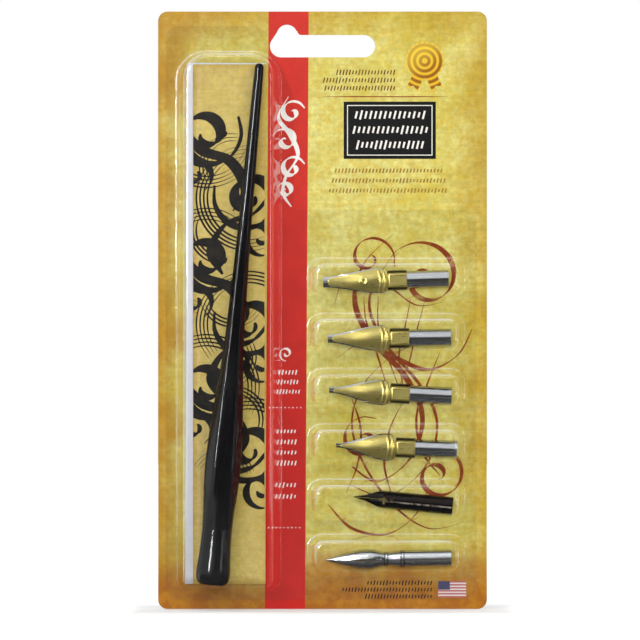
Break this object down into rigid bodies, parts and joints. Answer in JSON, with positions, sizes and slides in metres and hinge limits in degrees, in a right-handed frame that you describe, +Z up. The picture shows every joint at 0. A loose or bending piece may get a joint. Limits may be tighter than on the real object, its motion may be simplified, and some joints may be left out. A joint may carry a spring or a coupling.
{
  "type": "carded calligraphy set",
  "caption": "Printed card with a hang slot and a clear blister shell that holds a pen holder, steel nibs and a folded leaflet.",
  "frame": {"origin": "centre of the notch in the hang slot, where the peg seats, on the card's back face", "axes": "+X to the right seen from the front, +Z up as the card hangs, -Y out of the printed front"},
  "size_m": [0.112, 0.0172, 0.2035],
  "materials": {
    "printed_board": "printed, gloss varnish",
    "clear_sheet": "clear, thermoformed",
    "leaflet_paper": "printed on one side",
    "black_plastic": "polished black",
    "nib_steel": "bright",
    "nib_brass": "bright",
    "dark_bronze": "bronzed, dark"
  },
  "bodies": {
    "card": {"backing_card": "printed_board"},
    "shell": {"blister_shell": "clear_sheet"},
    "leaflet": {"leaflet": "leaflet_paper"},
    "holder": {"holder_body": "black_plastic", "nib_clip": "nib_steel"},
    "broad_nib_1": {"broad_nib_1_blade": "nib_steel", "broad_nib_1_reservoir": "nib_brass", "broad_nib_1_band": "nib_brass", "broad_nib_1_underfeed": "nib_brass"},
    "broad_nib_2": {"broad_nib_2_blade": "nib_steel", "broad_nib_2_reservoir": "nib_brass", "broad_nib_2_band": "nib_brass", "broad_nib_2_underfeed": "nib_brass"},
    "broad_nib_3": {"broad_nib_3_blade": "nib_steel", "broad_nib_3_reservoir": "nib_brass", "broad_nib_3_band": "nib_brass", "broad_nib_3_underfeed": "nib_brass"},
    "broad_nib_4": {"broad_nib_4_blade": "nib_steel", "broad_nib_4_reservoir": "nib_brass", "broad_nib_4_band": "nib_brass", "broad_nib_4_underfeed": "nib_brass"},
    "pointed_nib": {"pointed_nib": "dark_bronze"},
    "bowl_nib": {"bowl_nib": "nib_steel"}
  },
  "joints": [
    {"name": "shell_lift", "type": "slide", "parent": "card", "child": "shell", "axis": [0, -1, 0], "range_m": [0, 0.03]},
    {"name": "holder_rock", "type": "hinge", "parent": "card", "child": "holder", "pos_m": [-0.0254, -0.00918, -0.187], "axis": [0, -1, 0], "range_deg": [-1.1, 7.6]},
    {"name": "leaflet_slide", "type": "slide", "parent": "card", "child": "leaflet", "axis": [0, 0, 1], "range_m": [-0.001, 0.0006]},
    {"name": "broad_nib_1_slide", "type": "slide", "parent": "card", "child": "broad_nib_1", "axis": [1, 0, 0], "range_m": [-0.003, 0.0036]},
    {"name": "broad_nib_2_slide", "type": "slide", "parent": "card", "child": "broad_nib_2", "axis": [1, 0, 0], "range_m": [-0.0048, 0.0027]},
    {"name": "broad_nib_3_slide", "type": "slide", "parent": "card", "child": "broad_nib_3", "axis": [1, 0, 0], "range_m": [-0.0052, 0.0021]},
    {"name": "broad_nib_4_slide", "type": "slide", "parent": "card", "child": "broad_nib_4", "axis": [1, 0, 0], "range_m": [-0.0074, 0.0007]},
    {"name": "pointed_nib_slide", "type": "slide", "parent": "card", "child": "pointed_nib", "axis": [1, 0, 0], "range_m": [-0.013, 0.002]},
    {"name": "bowl_nib_slide", "type": "slide", "parent": "card", "child": "bowl_nib", "axis": [1, 0, 0], "range_m": [-0.0042, 0.0026]}
  ]
}
